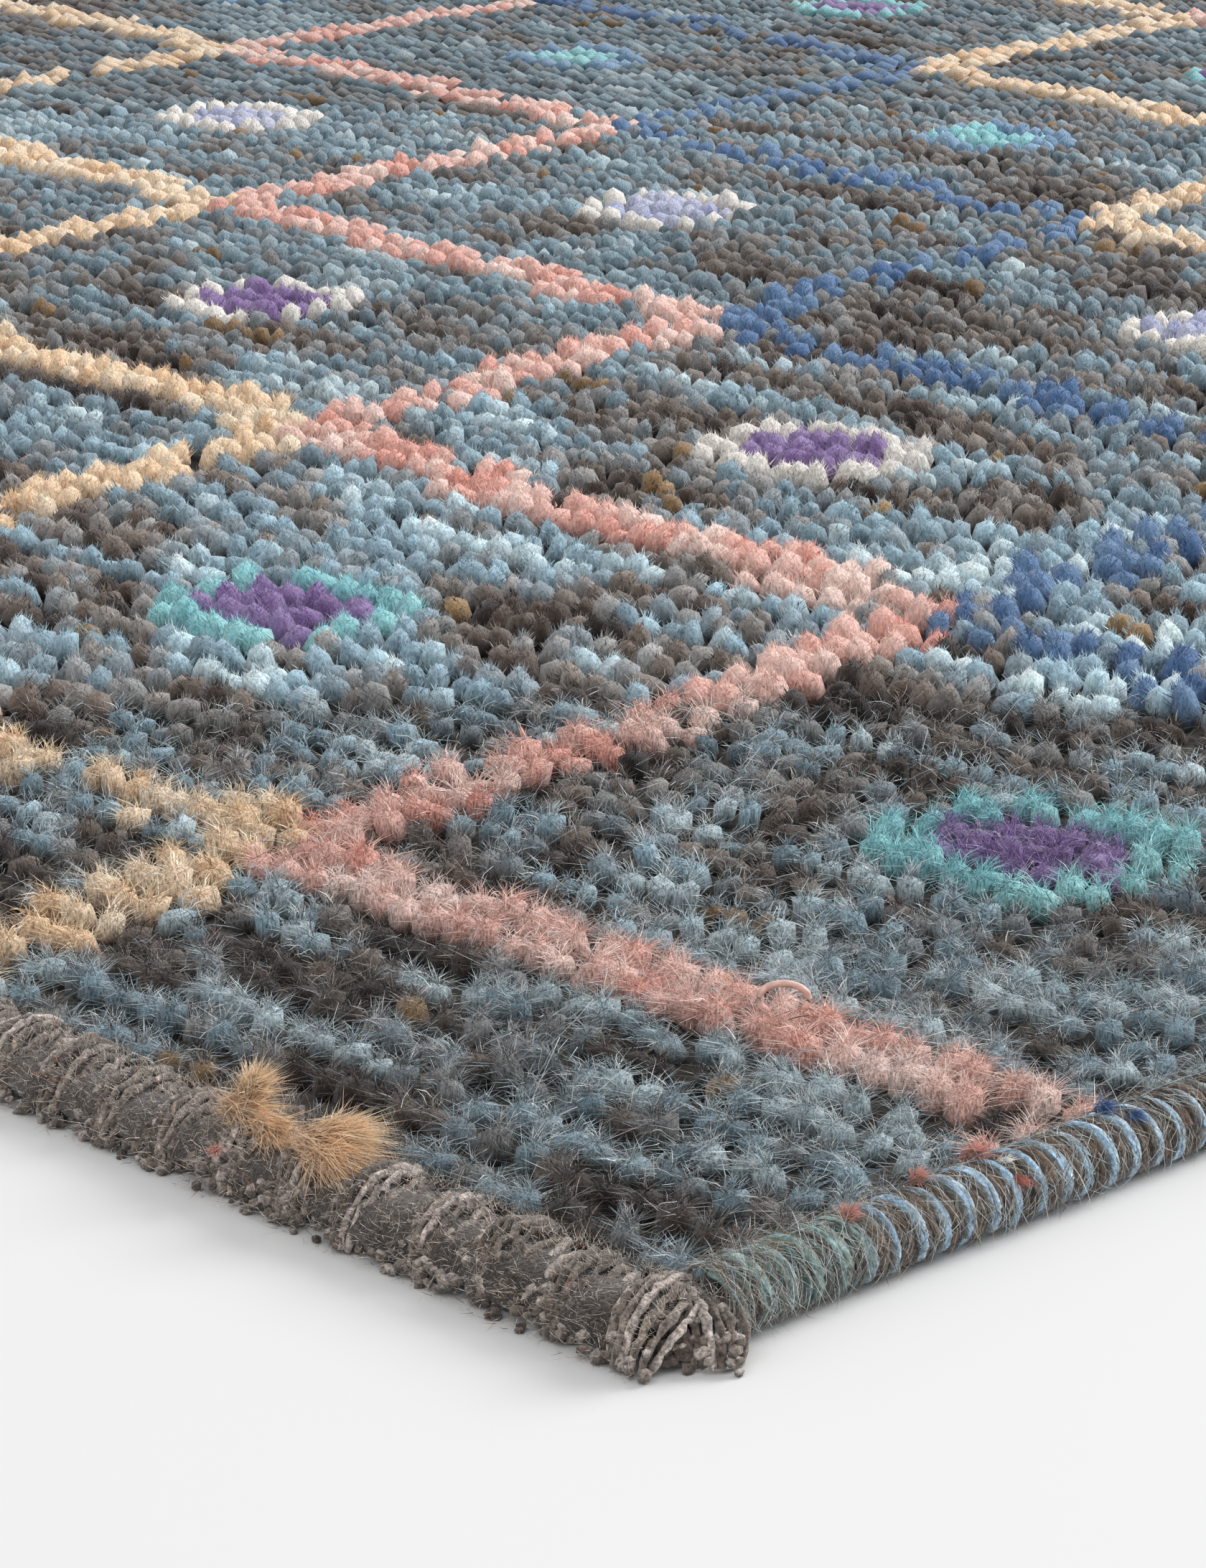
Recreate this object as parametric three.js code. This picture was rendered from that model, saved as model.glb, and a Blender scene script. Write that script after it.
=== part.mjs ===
// A hand-knotted wool rug, 4 by 6 feet, lying flat on the floor.
// The knotted field is one thick cloth with an uneven pile surface. A round selvedge cord is overcast
// along each long side, and the warp ends are gathered and plaited into a knobbly band at each short end.
// Units are millimetres. X runs along the weft, Y along the warp, and +Z is up from the floor.
import * as THREE from 'three';

// Overall sizes
const RUG_WIDTH = 1220;
const RUG_LENGTH = 1830;
const SEAM_GAP = 0.3;

// Selvedge cord
const CORD_WIDTH = 9.2;
const CORD_HEIGHT = 9.0;
const CORD_SWELL = 0.45;
const CORD_SWELL_PACE = 4;
const CORD_SIDES = 10;
const CORD_STEP = 30;

// Plaited end band
const PLAIT_WIDTH = 15;
const PLAIT_HEIGHT = 8;
const PLAIT_PITCH = 12.2;
const PLAIT_VALLEY = 0.8;
const PLAIT_REACH = 0.97;
const PLAIT_STRAY = 0.09;
const PLAIT_STRAY_PACE = 17;
const PLAIT_SLANT = 2.6;
const PLAIT_SLANT_PIVOT = 0.5;
const PLAIT_FREE_FROM = 0.6;

// Knotted field
const PILE_HEIGHT = 11;
const PILE_EDGE_HEIGHT = 8.2;
const PILE_SHOULDER = 12;
const PILE_LUMP = 0.55;
const FIELD_CELL = 40;
const FLOOR_SEAM = 120;

const FIELD_WIDTH = RUG_WIDTH - 2 * (CORD_WIDTH + SEAM_GAP);
const FIELD_LENGTH = RUG_LENGTH - 2 * (PLAIT_WIDTH + SEAM_GAP);

// Wool colours
const FIELD_WOOL = { name: 'blue_grey_wool', color: 0x6f7a80, roughness: 0.95, metalness: 0 };
const CORD_WOOL = { name: 'blue_brown_wool', color: 0x6a7786, roughness: 0.9, metalness: 0 };
const WARP_YARN = { name: 'grey_warp_yarn', color: 0x857d78, roughness: 0.95, metalness: 0 };

// Joins equal-length rings of points into one closed solid. The rings go round the same way as seen
// from the first ring, and each end is closed by a fan from the ring's first point.
function loftedSolid(rings) {
  const size = rings[0].length;
  const positions = rings.flat().flatMap((p) => [p.x, p.y, p.z]);
  const index = [];
  for (let r = 0; r + 1 < rings.length; r++) {
    for (let k = 0; k < size; k++) {
      const a = r * size + k;
      const b = r * size + ((k + 1) % size);
      index.push(a, b, a + size, b, b + size, a + size);
    }
  }
  const last = (rings.length - 1) * size;
  for (let k = 1; k + 1 < size; k++) {
    index.push(0, k + 1, k);
    index.push(last, last + k, last + k + 1);
  }
  const geometry = new THREE.BufferGeometry();
  geometry.setAttribute('position', new THREE.Float32BufferAttribute(positions, 3));
  geometry.setIndex(index);
  geometry.computeVertexNormals();
  return geometry;
}

// A slow uneven wave between -1 and 1, from three sines whose lengths share no common measure.
function unevenness(x, y) {
  const broad = Math.sin(x / 61 + 1.3) * Math.cos(y / 74 + 0.4);
  const middling = Math.sin(x / 37 - y / 43 + 2.1);
  const slanting = Math.cos(x / 83 + y / 29);
  return 0.45 * broad + 0.3 * middling + 0.25 * slanting;
}

// Places from -half to half: the edge, the shoulder where the pile reaches its height, then even cells.
function fieldLines(half) {
  const inner = half - PILE_SHOULDER;
  const cells = Math.round((2 * inner) / FIELD_CELL);
  const even = Array.from({ length: cells + 1 }, (_, i) => -inner + (2 * inner * i) / cells);
  return [-half, ...even, half];
}

function pileTop(x, y) {
  const inset = Math.min(FIELD_WIDTH / 2 - Math.abs(x), FIELD_LENGTH / 2 - Math.abs(y));
  const share = Math.min(1, inset / PILE_SHOULDER);
  const level = PILE_EDGE_HEIGHT + (PILE_HEIGHT - PILE_EDGE_HEIGHT) * Math.sin((share * Math.PI) / 2);
  return level + PILE_LUMP * share * unevenness(x, y);
}

// The field: a ring for each line across the rug, flat underneath and uneven on top.
function pileField() {
  const half = FIELD_WIDTH / 2;
  const across = fieldLines(half);
  const rings = fieldLines(FIELD_LENGTH / 2).map((y) => {
    const top = across.map((x) => new THREE.Vector3(x, y, pileTop(x, y)));
    const [middle, left, right] = [FLOOR_SEAM, -half, half].map((x) => new THREE.Vector3(x, y, 0));
    return [middle, left, ...top, right];
  });
  return loftedSolid(rings);
}

// The selvedge: a round cord flattened where it lies on the floor, swelling and narrowing as it goes.
function selvedgeCord(phase) {
  const steps = Math.round(FIELD_LENGTH / CORD_STEP);
  const flatAngle = Math.PI / CORD_SIDES;
  const rings = [];
  for (let i = 0; i <= steps; i++) {
    const y = -FIELD_LENGTH / 2 + (FIELD_LENGTH * i) / steps;
    const swell = (CORD_SWELL * (unevenness(CORD_SWELL_PACE * y, phase) - 1)) / 2;
    const ring = [];
    for (let k = 0; k < CORD_SIDES; k++) {
      const angle = -Math.PI / 2 + flatAngle - (2 * Math.PI * k) / CORD_SIDES;
      const x = (CORD_WIDTH / 2 + swell) * Math.cos(angle);
      const z = (CORD_HEIGHT / 2 + swell) * (1 + Math.sin(angle) / Math.cos(flatAngle));
      ring.push(new THREE.Vector3(x, y, z));
    }
    rings.push(ring);
  }
  return loftedSolid(rings);
}

// Section of the plaited band: outward place and height, as shares of its width and height.
const PLAIT_SECTION = [
  { out: 0.5, up: 0 },
  { out: 0.0, up: 0 },
  { out: 0.0, up: 0.72 },
  { out: 0.3, up: 1.0 },
  { out: 0.66, up: 0.95 },
  { out: 0.92, up: 0.55 },
  { out: 1.0, up: 0 },
];

// The plaited end: each gathered group of warps is a lobe with a valley on either side of it.
// A lobe leans along the band as it comes down to the floor, and some reach further out than others.
function plaitedEnd(phase) {
  const groups = Math.round(RUG_WIDTH / PLAIT_PITCH);
  const stations = 2 * groups;
  const rings = [];
  for (let i = 0; i <= stations; i++) {
    const isValley = i % 2 === 0;
    const isEnd = i === 0 || i === stations;
    const stray = PLAIT_STRAY * unevenness(PLAIT_STRAY_PACE * i, phase);
    const reach = isValley ? PLAIT_VALLEY : Math.min(1, PLAIT_REACH + stray);
    const x = -RUG_WIDTH / 2 + (RUG_WIDTH * i) / stations;
    rings.push(PLAIT_SECTION.map(({ out, up }) => {
      const lean = isEnd ? 0 : PLAIT_SLANT * (PLAIT_SLANT_PIVOT - up);
      const outward = out > PLAIT_FREE_FROM ? out * reach : out;
      return new THREE.Vector3(x + lean, -outward * PLAIT_WIDTH, up * reach * PLAIT_HEIGHT);
    }));
  }
  return loftedSolid(rings);
}

function woolMesh(name, geometry, wool) {
  const mesh = new THREE.Mesh(geometry, new THREE.MeshStandardMaterial(wool));
  mesh.name = name;
  return mesh;
}

const rug = new THREE.Group();

rug.add(woolMesh('pile_field', pileField(), FIELD_WOOL));

const cordPlace = RUG_WIDTH / 2 - CORD_WIDTH / 2;
for (const { name, side, phase } of [
  { name: 'selvedge_right', side: 1, phase: 11 },
  { name: 'selvedge_left', side: -1, phase: 47 },
]) {
  const cord = woolMesh(name, selvedgeCord(phase), CORD_WOOL);
  cord.position.x = side * cordPlace;
  rug.add(cord);
}

// The second plait is the first one turned half round, so both face outwards.
const plaitPlace = RUG_LENGTH / 2 - PLAIT_WIDTH;
for (const { name, side, turn, phase } of [
  { name: 'plait_near', side: -1, turn: 0, phase: 23 },
  { name: 'plait_far', side: 1, turn: Math.PI, phase: 71 },
]) {
  const plait = woolMesh(name, plaitedEnd(phase), WARP_YARN);
  plait.position.y = side * plaitPlace;
  plait.rotation.z = turn;
  rug.add(plait);
}

export default rug;
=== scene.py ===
import math

import bpy
import numpy as np
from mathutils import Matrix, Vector


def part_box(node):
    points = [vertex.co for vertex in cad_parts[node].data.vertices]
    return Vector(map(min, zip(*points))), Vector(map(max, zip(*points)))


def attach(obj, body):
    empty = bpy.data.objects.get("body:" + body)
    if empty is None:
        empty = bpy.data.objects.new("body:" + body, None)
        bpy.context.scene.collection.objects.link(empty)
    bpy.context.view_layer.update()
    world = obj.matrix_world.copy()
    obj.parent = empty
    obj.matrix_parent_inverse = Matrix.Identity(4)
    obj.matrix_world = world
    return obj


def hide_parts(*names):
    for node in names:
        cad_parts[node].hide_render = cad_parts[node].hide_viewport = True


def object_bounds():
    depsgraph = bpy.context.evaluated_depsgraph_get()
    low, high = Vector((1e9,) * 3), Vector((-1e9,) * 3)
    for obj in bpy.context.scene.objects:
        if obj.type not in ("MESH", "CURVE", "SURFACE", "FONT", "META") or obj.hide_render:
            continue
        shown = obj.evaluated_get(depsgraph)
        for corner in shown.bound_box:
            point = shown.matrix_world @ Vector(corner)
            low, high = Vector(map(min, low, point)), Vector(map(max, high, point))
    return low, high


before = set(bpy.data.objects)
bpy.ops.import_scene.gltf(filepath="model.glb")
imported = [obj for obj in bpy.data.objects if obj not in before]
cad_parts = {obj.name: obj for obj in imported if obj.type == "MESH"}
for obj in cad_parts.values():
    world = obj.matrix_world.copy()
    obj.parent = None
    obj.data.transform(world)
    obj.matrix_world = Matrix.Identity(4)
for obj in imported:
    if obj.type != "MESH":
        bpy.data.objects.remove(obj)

cad_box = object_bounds()
MM = 0.001

# The rug lies on a plain pale floor in soft studio light. The camera, taken to stand 210 mm up, is just off
# the near right corner and looks low across the pile, with a long lens and no depth of field.
FOCAL_SHARE = 6142.87 / 2185
CAMERA_HEIGHT = 210 * MM
CAMERA_PITCH = math.radians(16.816)
VIEW_WAY = np.array([-0.7237, 0.6901])
CORNER_AHEAD = 2.18118 * CAMERA_HEIGHT
CORNER_RIGHT = 0.01978 * CAMERA_HEIGHT
RUG_LOW, RUG_HIGH = (np.array(corner) for corner in cad_box)
near_corner = np.array([RUG_HIGH[0], RUG_LOW[1]])
right_way = np.array([VIEW_WAY[1], -VIEW_WAY[0]])
camera_foot = near_corner - VIEW_WAY * CORNER_AHEAD - right_way * CORNER_RIGHT

camera = bpy.data.objects.new("camera", bpy.data.cameras.new("camera"))
camera.data.sensor_width = 36
camera.data.lens = camera.data.sensor_width * FOCAL_SHARE
camera.data.clip_start, camera.data.clip_end = 0.02, 60
camera.location = (*camera_foot, CAMERA_HEIGHT)
level, down = math.cos(CAMERA_PITCH), math.sin(CAMERA_PITCH)
looking = Vector((VIEW_WAY[0] * level, VIEW_WAY[1] * level, -down))
camera.rotation_euler = looking.to_track_quat("-Z", "Y").to_euler()
bpy.context.collection.objects.link(camera)
bpy.context.scene.camera = camera

FLOOR_HALF = 20
floor_mesh = bpy.data.meshes.new("floor")
floor_mesh.from_pydata(
    [(x * FLOOR_HALF, y * FLOOR_HALF, 0) for x, y in ((-1, -1), (1, -1), (1, 1), (-1, 1))],
    [], [(0, 1, 2, 3)],
)
floor = bpy.data.objects.new("floor", floor_mesh)
bpy.context.collection.objects.link(floor)
floor_paint = bpy.data.materials.new("pale_floor")
floor_paint.use_nodes = True
floor_paint.node_tree.nodes["Principled BSDF"].inputs["Base Color"].default_value = (0.68, 0.677, 0.675, 1)
floor_paint.node_tree.nodes["Principled BSDF"].inputs["Roughness"].default_value = 0.9
floor_mesh.materials.append(floor_paint)

world = bpy.data.worlds.new("studio")
world.use_nodes = True
world.node_tree.nodes["Background"].inputs["Color"].default_value = (0.985, 0.99, 1.0, 1)
world.node_tree.nodes["Background"].inputs["Strength"].default_value = 0.68
bpy.context.scene.world = world
bpy.context.scene.view_settings.view_transform = "Standard"


def soft_light(name, place, aim, size, power):
    """A square area light of that size, in metres, at a place and turned towards a point."""
    light = bpy.data.lights.new(name, "AREA")
    light.size, light.energy = size, power
    lamp = bpy.data.objects.new(name, light)
    lamp.location = place
    lamp.rotation_euler = (Vector(aim) - Vector(place)).to_track_quat("-Z", "Y").to_euler()
    bpy.context.collection.objects.link(lamp)


soft_light("key", (1.2, 2.5, 1.9), (0.3, -0.5, 0), 1.7, 150)
soft_light("fill", (1.2, -2.4, 2.4), (0.3, -0.6, 0), 2.2, 24)

# The foundation is the woven cloth that holds the knots: warps along the rug, of a fibre that can't be
# told, and wefts beaten down between the knot rows. It is a flat slab here, its back in the knots' colours.
KNOT_PITCH, ROW_PITCH = 5.4 * MM, 8.7 * MM
CLOTH_THICK = 3 * MM
field_low, field_high = (np.array(corner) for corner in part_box("pile_field"))
field_size = field_high - field_low
COLUMNS = round(field_size[0] / KNOT_PITCH)
ROWS = round(field_size[1] / ROW_PITCH)
knot_pitch = field_size[0] / COLUMNS
row_pitch = field_size[1] / ROWS
column, row = np.meshgrid(np.arange(COLUMNS), np.arange(ROWS))
knot_x = field_high[0] - (column + 0.5) * knot_pitch
knot_y = field_low[1] + (row + 0.5) * row_pitch
# Distances in millimetres from the near right corner, along the weft and along the warp
weft_mm = (RUG_HIGH[0] - knot_x) / MM
warp_mm = (knot_y - RUG_LOW[1]) / MM


def linear(web):
    """A web colour as linear light: each channel c becomes ((c + 0.055) / 1.055) to the power 2.4."""
    channels = np.array([int(web[i:i + 2], 16) for i in (0, 2, 4)]) / 255
    return ((channels + 0.055) / 1.055) ** 2.4


def drift(x, y, reach_x, reach_y, seed):
    """Slow random change from 0 to 1: random values on a lattice of the given reaches, each place blending
    the four nearest by t * t * (3 - 2 * t)."""
    span = 256
    values = np.random.default_rng(seed).random((span, span))
    u, v = x / reach_x, y / reach_y
    i, j = np.floor(u).astype(int), np.floor(v).astype(int)
    s, t = u - i, v - j
    s, t = s * s * (3 - 2 * s), t * t * (3 - 2 * t)
    i, j, after_i, after_j = i % span, j % span, (i + 1) % span, (j + 1) % span
    near = values[i, j] * (1 - s) + values[after_i, j] * s
    far = values[i, after_j] * (1 - s) + values[after_i, after_j] * s
    return near * (1 - t) + far * t


# The trellis, in millimetres from the near right corner: where each line starts and how much it slants
ALONG_WEFT = [
    {"start": 80, "slant": 0.04}, {"start": 247, "slant": 0.08}, {"start": 390, "slant": 0.10},
    {"start": 545, "slant": 0.13}, {"start": 662, "slant": 0.20}, {"start": 835, "slant": 0.19},
    {"start": 1010, "slant": 0.17}, {"start": 1190, "slant": 0.14}, {"start": 1370, "slant": 0.11},
    {"start": 1545, "slant": 0.08}, {"start": 1720, "slant": 0.05},
]
ALONG_WARP = [
    {"start": -45, "slant": 0.12}, {"start": 157, "slant": 0.115}, {"start": 344, "slant": 0.17},
    {"start": 565, "slant": 0.15}, {"start": 765, "slant": 0.185}, {"start": 975, "slant": 0.17},
    {"start": 1175, "slant": 0.16},
]
FIRST_WEFT_LINE, FIRST_WARP_LINE = 1, 0
# A line's half width and how far its edge strays, in millimetres, for lines along the weft and the warp
WEFT_LINE_HALF, WEFT_LINE_RAGGED = 8.7, 9
WARP_LINE_HALF, WARP_LINE_RAGGED = 8.1, 7
# A mesh narrower than this, in millimetres, has no motif. A motif's rim and its centre reach so many knots to
# each side in the rows at its middle, and then in the rows beyond them
LEAST_MESH = 90
RIM_REACH, CENTRE_REACH = (4.4, 3.2), (3.2, 2.8)
LINE_COLOURS = ["apricot", "pink", "blue"]
BLUE_LEFT_OUT, OTHERS_LEFT_OUT = 0.4, 0.03
MOTIF_COLOURS = [("purple", "aqua"), ("purple", "cream"), ("lilac", "cream"), ("aqua", "soft_blue")]
WOOLS = {
    "apricot": ("f3dfc6", "ecc9a4"), "pink": ("f0d3c9", "e2a496"), "blue": ("4b6d9a", "6c8bae"),
    "purple": ("927bab", "83689c"), "aqua": ("9bd3d6", "86c3ca"), "cream": ("efe9e1", "dfdad4"),
    "lilac": ("aab0d0", "bdc0d4"), "soft_blue": ("86a6c2", "7697b4"),
}
GROUND_WOOLS = ["28211f", "473a33", "736860", "8c8c8c", "788d99", "8fa9b6", "bacbd1"]


def line_at(line, along):
    return line["start"] + line["slant"] * along


def chart():
    """The wool of every knot. A knot lies on a line if it is within one row, or one and a half knots, of it,
    give or take a ragged step. A line changes colour at each crossing, and so steps through three colours
    along the diagonals. In the middle of each mesh that is wide enough is a small stepped lozenge."""
    wool = np.full(weft_mm.shape, "ground", dtype="<U12")
    ragged_row = (drift(weft_mm, warp_mm, 14, 60, 5) - 0.5) * WEFT_LINE_RAGGED
    ragged_knot = (drift(weft_mm, warp_mm, 60, 8, 6) - 0.5) * WARP_LINE_RAGGED
    across = np.stack([line_at(line, weft_mm) for line in ALONG_WEFT])
    along = np.stack([line_at(line, warp_mm) for line in ALONG_WARP])
    below = (across < warp_mm).sum(0) + FIRST_WEFT_LINE - 1
    beside = (along < weft_mm).sum(0) + FIRST_WARP_LINE - 1
    for j in range(len(ALONG_WARP)):
        on_line = np.abs(weft_mm - along[j] + ragged_knot) < WARP_LINE_HALF
        step = (below - (j + FIRST_WARP_LINE) + 1) % 3
        for k, name in enumerate(LINE_COLOURS):
            wool[on_line & (step == k)] = name
    for i in range(len(ALONG_WEFT)):
        on_line = np.abs(warp_mm - across[i] + ragged_row) < WEFT_LINE_HALF
        step = (i + FIRST_WEFT_LINE - beside) % 3
        for k, name in enumerate(LINE_COLOURS):
            wool[on_line & (step == k)] = name
    for i in range(len(ALONG_WEFT) - 1):
        centre_name, rim_name = MOTIF_COLOURS[i % len(MOTIF_COLOURS)]
        for j in range(-1, len(ALONG_WARP) - 1):
            lower, upper = ALONG_WEFT[i], ALONG_WEFT[i + 1]
            at_warp = lower["start"]
            for _ in range(4):
                left_line = line_at(ALONG_WARP[j + 1], at_warp)
                right_line = max(0, line_at(ALONG_WARP[j], at_warp)) if j >= 0 else 0
                at_weft = (left_line + right_line) / 2
                at_warp = (line_at(lower, at_weft) + line_at(upper, at_weft)) / 2
            if left_line - right_line < LEAST_MESH:
                continue
            knots = np.abs(weft_mm - at_weft) / (knot_pitch / MM)
            rows = np.abs(warp_mm - at_warp) / (row_pitch / MM)
            reach = np.where(rows < 1.5, RIM_REACH[0], np.where(rows < 2.5, RIM_REACH[1], 0))
            inner = np.where(rows < 0.5, CENTRE_REACH[0], np.where(rows < 1.5, CENTRE_REACH[1], 0))
            wool[knots < reach] = rim_name
            wool[knots < inner] = centre_name
    # The blue lines show thin and broken, so many of their knots take the ground's wool, as do a few others
    left_out = np.where(wool == "blue", BLUE_LEFT_OUT, np.isin(wool, LINE_COLOURS) * OTHERS_LEFT_OUT)
    wool[np.random.default_rng(18).random(wool.shape) < left_out] = "ground"
    return wool


def ground_colour(mix):
    """The ground's wools run from dark brown through grey to light blue as the mix goes from 0 to 1."""
    shades = np.array([linear(web) for web in GROUND_WOOLS])
    places = np.linspace(0, 1, len(shades))
    return np.stack([np.interp(mix, places, shades[:, channel]) for channel in range(3)], -1)


def wool_colours(wool, mix, quick):
    """A colour for every knot: the ground's by its mix, with a few ochre spots, and the dyed wools between
    their two shades."""
    colours = ground_colour(mix)
    ochre = (drift(weft_mm, warp_mm, 16, 9, 14) > 0.93)[..., None]
    colours = np.where(ochre, linear("8a6f4e"), colours)
    change = 1.5 * (drift(weft_mm, warp_mm, 9, 9, 15) - 0.5) + 0.5 * (quick - 0.5)
    shade = np.clip(0.5 + change, 0, 1)[..., None]
    for name, (first, second) in WOOLS.items():
        dyed = linear(first) * (1 - shade) + linear(second) * shade
        colours = np.where((wool == name)[..., None], dyed, colours)
    return colours


knot_wool = chart()
# The ground's mix drifts in streaks along the rows and changes a little from knot to knot. It is browner
# by the near right corner.
quick_change = np.random.default_rng(13).random(weft_mm.shape)
streak = drift(weft_mm, warp_mm, 34, 13, 11) - 0.5
patch = drift(weft_mm, warp_mm, 120, 70, 12) - 0.5
from_corner = np.hypot(weft_mm, warp_mm)
short_streak = drift(weft_mm, warp_mm, 15, 8, 16) - 0.5
close_by = np.exp(-from_corner / 350)
streaks = streak * (0.55 + 0.8 * close_by) + short_streak * (0.25 + 1.4 * close_by) + 0.35 * patch
own_change = (0.24 + 0.3 * close_by) * (quick_change - 0.5)
ground_mix = np.clip(0.61 + streaks + own_change - 0.21 * np.exp(-from_corner / 220), 0, 1)
knot_tone = np.exp(np.random.default_rng(17).normal(0, 0.12, weft_mm.shape))
# A brightness fit and no feature of the rug: by its distance from the near right corner in mm, the ground is
# made lighter or darker until the render's regions are about as bright as the photo's
TONE_PLACES, TONE_FIT = [80, 190, 330, 430, 620, 900], [0.9, 1.15, 1.14, 1.03, 0.75, 0.8]
knot_tone *= np.interp(from_corner, TONE_PLACES, TONE_FIT)
knot_colour = wool_colours(knot_wool, ground_mix, quick_change)
knot_colour = np.where((knot_wool == "ground")[..., None], knot_colour * knot_tone[..., None], knot_colour)


def wool_piece(name, points, face_sets, colours, material, slot_name):
    """One mesh from whole arrays: points in metres, arrays of faces with equal numbers of corners, and one
    colour for each point. Points that would lie below the floor are raised to it."""
    points = np.column_stack([points[:, :2], np.maximum(points[:, 2], 0)])
    mesh = bpy.data.meshes.new(name)
    corners = np.concatenate([faces.ravel() for faces in face_sets]).astype(np.int32)
    counts = np.concatenate([np.full(len(faces), faces.shape[1]) for faces in face_sets])
    mesh.vertices.add(len(points))
    mesh.vertices.foreach_set("co", points.astype(np.float32).ravel())
    mesh.loops.add(len(corners))
    mesh.loops.foreach_set("vertex_index", corners)
    mesh.polygons.add(len(counts))
    mesh.polygons.foreach_set("loop_start", (np.cumsum(counts) - counts).astype(np.int32))
    mesh.update(calc_edges=True)
    mesh.shade_smooth()
    tints = np.ones((len(points), 4), np.float32)
    tints[:, :3] = colours
    mesh.color_attributes.new("wool", "FLOAT_COLOR", "POINT").data.foreach_set("color", tints.ravel())
    mesh.materials.append(material)
    piece = bpy.data.objects.new(name, mesh)
    bpy.context.collection.objects.link(piece)
    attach(piece, "root")
    return piece


def yarn_finish(name, grain, depth, roughness, sheen, contrast=0.25, gloss=0.25):
    """Matt yarn: the mesh's own wool colour, lightened and darkened by a grain of the given size each way,
    which also raises a fuzz of the given depth, in metres, and roughens the shine."""
    material = bpy.data.materials.new(name)
    material.use_nodes = True
    nodes, links = material.node_tree.nodes, material.node_tree.links
    shader = nodes["Principled BSDF"]
    shader.inputs["Sheen Weight"].default_value = sheen
    shader.inputs["Sheen Roughness"].default_value = 0.5
    shader.inputs["Specular IOR Level"].default_value = gloss
    wool = nodes.new("ShaderNodeAttribute")
    wool.attribute_name = "wool"
    place = nodes.new("ShaderNodeTexCoord")
    fuzz = nodes.new("ShaderNodeTexNoise")
    fuzz.inputs["Scale"].default_value = 1
    fuzz.inputs["Detail"].default_value = 3
    fuzz.inputs["Roughness"].default_value = 0.65
    stretched = nodes.new("ShaderNodeVectorMath")
    stretched.operation = "DIVIDE"
    stretched.inputs[1].default_value = grain
    links.new(place.outputs["Object"], stretched.inputs[0])
    links.new(stretched.outputs["Vector"], fuzz.inputs["Vector"])
    shade = nodes.new("ShaderNodeMapRange")
    shade.inputs["From Min"].default_value = 0.3
    shade.inputs["From Max"].default_value = 0.7
    shade.inputs["To Min"].default_value = 1 - contrast
    shade.inputs["To Max"].default_value = 1 + contrast
    links.new(fuzz.outputs["Fac"], shade.inputs["Value"])
    tinted = nodes.new("ShaderNodeVectorMath")
    tinted.operation = "SCALE"
    links.new(wool.outputs["Color"], tinted.inputs[0])
    links.new(shade.outputs["Result"], tinted.inputs["Scale"])
    links.new(tinted.outputs["Vector"], shader.inputs["Base Color"])
    shine = nodes.new("ShaderNodeMapRange")
    shine.inputs["To Min"].default_value = roughness - 0.08
    shine.inputs["To Max"].default_value = roughness + 0.08
    links.new(fuzz.outputs["Fac"], shine.inputs["Value"])
    links.new(shine.outputs["Result"], shader.inputs["Roughness"])
    raised = nodes.new("ShaderNodeBump")
    raised.inputs["Distance"].default_value = depth
    raised.inputs["Strength"].default_value = 0.8
    links.new(fuzz.outputs["Fac"], raised.inputs["Height"])
    links.new(raised.outputs["Normal"], shader.inputs["Normal"])
    return material


def foundation_cloth():
    """A flat closed slab. Its bottom is a grid of cells two knots by two rows, joined by walls to a lid
    that is a fan about its middle, and each point of the bottom takes the colour of a knot next to it. The
    points of the top are painted dark, as the shade in the furrows between the rows."""
    cells_x, cells_y = COLUMNS // 2, ROWS // 2
    x = np.linspace(field_high[0], field_low[0], cells_x + 1)
    y = np.linspace(field_low[1], field_high[1], cells_y + 1)
    grid_x, grid_y = np.meshgrid(x, y)
    layer = grid_x.size
    bottom = np.stack([grid_x, grid_y, np.zeros(grid_x.shape)], -1).reshape(-1, 3)
    numbers = np.arange(layer).reshape(grid_x.shape)
    cells = np.stack([numbers[:-1, :-1], numbers[:-1, 1:], numbers[1:, 1:], numbers[1:, :-1]], -1)
    rim = np.concatenate([numbers[0, :-1], numbers[:-1, -1], numbers[-1, :0:-1], numbers[:0:-1, 0]])
    top = bottom[rim] + [0, 0, CLOTH_THICK]
    rim_top = layer + np.arange(len(rim))
    walls = np.stack([rim, rim_top, np.roll(rim_top, -1), np.roll(rim, -1)], -1)
    middle = np.array([[0, 0, CLOTH_THICK]])
    hub = np.full(len(rim), layer + len(rim))
    lid = np.stack([rim_top, hub, np.roll(rim_top, -1)], -1)
    points = np.concatenate([bottom, top, middle])
    nearest_column = np.clip(np.arange(cells_x + 1) * 2, 0, COLUMNS - 1)
    nearest_row = np.clip(np.arange(cells_y + 1) * 2, 0, ROWS - 1)
    backs = knot_colour[np.ix_(nearest_row, nearest_column)].reshape(-1, 3)
    # Painted shade: the top's points are dark, as the furrows between the rows are in shade
    dark = np.tile(linear("4b4743"), (len(rim) + 1, 1))
    return points, [cells.reshape(-1, 4), walls, lid], np.concatenate([backs, dark])


cloth_finish = yarn_finish("foundation_weave", (2.2 * MM, 2.2 * MM, 2.2 * MM), 0.8 * MM, 0.9, 0.1)
points, faces, colours = foundation_cloth()
foundation = wool_piece("foundation", points, faces, colours, cloth_finish, "field_wool")
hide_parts("pile_field")

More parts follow.
